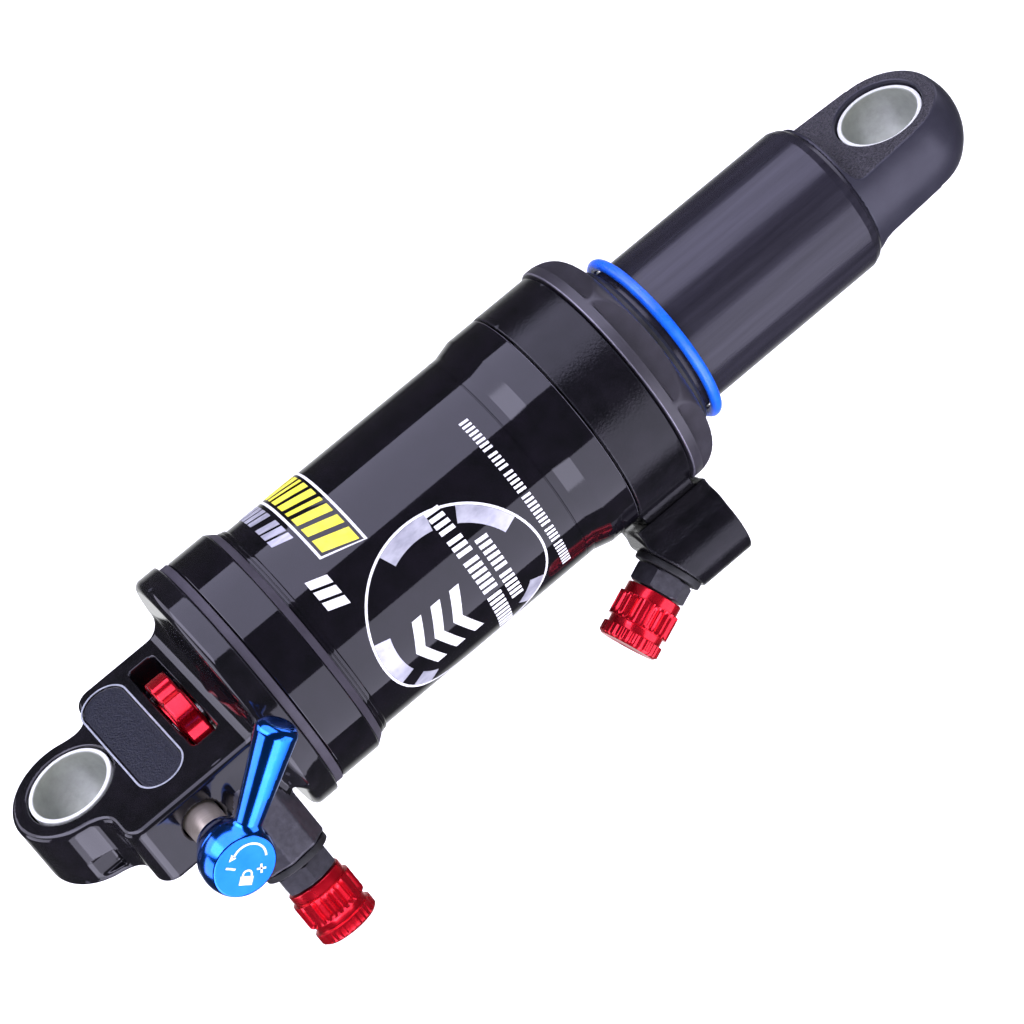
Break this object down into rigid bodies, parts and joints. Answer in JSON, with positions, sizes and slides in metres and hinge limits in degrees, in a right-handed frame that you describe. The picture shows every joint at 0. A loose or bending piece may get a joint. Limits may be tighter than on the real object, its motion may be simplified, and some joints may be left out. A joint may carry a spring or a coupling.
{
  "type": "rear shock",
  "caption": "Air-sprung bicycle rear shock: an eyed shaft slides into a gloss air can below a control block with lockout lever, rebound wheel and capped air valves.",
  "frame": {"origin": "centre of the body eye's bore", "axes": "+X from the shaft eye towards the body eye, both eye bores along Y, +Z towards the side the lockout lever stands on"},
  "size_m": [0.1869, 0.0571, 0.0563],
  "materials": {
    "black_gloss": "gloss black",
    "black_satin": "satin black, slightly grainy",
    "shaft_satin": "satin blue-black hard coat",
    "bush_polymer": "matt off-white liner",
    "blue_anodised": "gloss blue anodised",
    "red_anodised": "gloss red anodised",
    "blue_rubber": "satin blue",
    "steel": "turned",
    "brass": "turned",
    "aluminium": "machined",
    "rubber": "matt black",
    "bronze_ptfe": "matt brown"
  },
  "bodies": {
    "body": {"eyelet_body": "black_gloss", "body_eye_bush": "bush_polymer", "flange_gasket": "rubber", "eyelet_seal": "rubber", "bottom_out_bumper": "rubber", "air_can": "black_gloss", "valve_collar": "black_satin", "seal_head": "black_satin", "wiper_seal": "rubber", "slide_bush": "bronze_ptfe", "body_seal": "rubber", "top_out_bumper": "rubber", "damper_rod": "steel", "compression_shims": "steel", "oil_piston": "aluminium", "piston_band": "bronze_ptfe", "rebound_shims": "steel", "piston_nut": "steel", "main_valve_washer": "rubber", "main_valve_stem": "black_satin", "main_valve_core": "brass", "second_valve_washer": "rubber", "second_valve_stem": "black_satin", "second_valve_core": "brass"},
    "damper": {"damper_body": "shaft_satin", "shaft_eyelet": "shaft_satin", "shaft_eye_bush": "bush_polymer", "bearing_head": "aluminium", "air_piston_seal": "rubber", "glide_band": "bronze_ptfe", "rod_seal": "rubber"},
    "floating_piston": {"floating_piston": "aluminium", "floating_piston_seal": "rubber"},
    "travel_ring": {"travel_ring": "blue_rubber"},
    "lever": {"lockout_lever": "blue_anodised", "lever_pin": "steel"},
    "lockout_rod": {"lockout_rod": "steel"},
    "rebound_wheel": {"rebound_wheel": "red_anodised", "rebound_needle": "steel"},
    "main_cap": {"main_valve_cap": "red_anodised", "main_valve_cap_seal": "rubber"},
    "main_core_pin": {"main_valve_core_pin": "brass"},
    "second_cap": {"second_valve_cap": "red_anodised", "second_valve_cap_seal": "rubber"},
    "second_core_pin": {"second_valve_core_pin": "brass"}
  },
  "joints": [
    {"name": "stroke", "type": "slide", "parent": "body", "child": "damper", "axis": [1, 0, 0], "range_m": [0, 0.035], "stiffness_N_per_m": 8000, "springref_m": -0.01},
    {"name": "floating_piston_slide", "type": "slide", "parent": "damper", "child": "floating_piston", "axis": [1, 0, 0], "range_m": [-0.0075, 0]},
    {"name": "travel_ring_slide", "type": "slide", "parent": "damper", "child": "travel_ring", "axis": [1, 0, 0], "range_m": [-0.035, 0]},
    {"name": "lockout_turn", "type": "hinge", "parent": "body", "child": "lever", "pos_m": [-0.0118, 0, 0.031], "axis": [0, 0, 1], "range_deg": [0, 90]},
    {"name": "lockout_rod_slide", "type": "slide", "parent": "body", "child": "lockout_rod", "axis": [1, 0, 0], "range_m": [-0.0008, 0]},
    {"name": "rebound_turn", "type": "hinge", "parent": "body", "child": "rebound_wheel", "pos_m": [-0.02015, 0, 0], "axis": [1, 0, 0], "range_deg": [-180, 180]},
    {"name": "main_cap_pull", "type": "slide", "parent": "body", "child": "main_cap", "axis": [0, 0.8829, 0.4695], "range_m": [0, 0.012]},
    {"name": "main_core_press", "type": "slide", "parent": "body", "child": "main_core_pin", "axis": [0, -0.8829, -0.4695], "range_m": [0, 0.0012], "stiffness_N_per_m": 300, "springref_m": -0.0005},
    {"name": "second_cap_pull", "type": "slide", "parent": "body", "child": "second_cap", "axis": [0.9304, 0.3174, 0.1833], "range_m": [0, 0.012]},
    {"name": "second_core_press", "type": "slide", "parent": "body", "child": "second_core_pin", "axis": [-0.9304, -0.3174, -0.1833], "range_m": [0, 0.0012], "stiffness_N_per_m": 300, "springref_m": -0.0005}
  ],
  "couplings": [
    {"joint": "floating_piston_slide", "follows": "stroke", "ratio": -0.20661},
    {"joint": "travel_ring_slide", "follows": "stroke", "ratio": -1},
    {"joint": "lockout_rod_slide", "follows": "lockout_turn", "m_per_rad": -0.00050879}
  ]
}
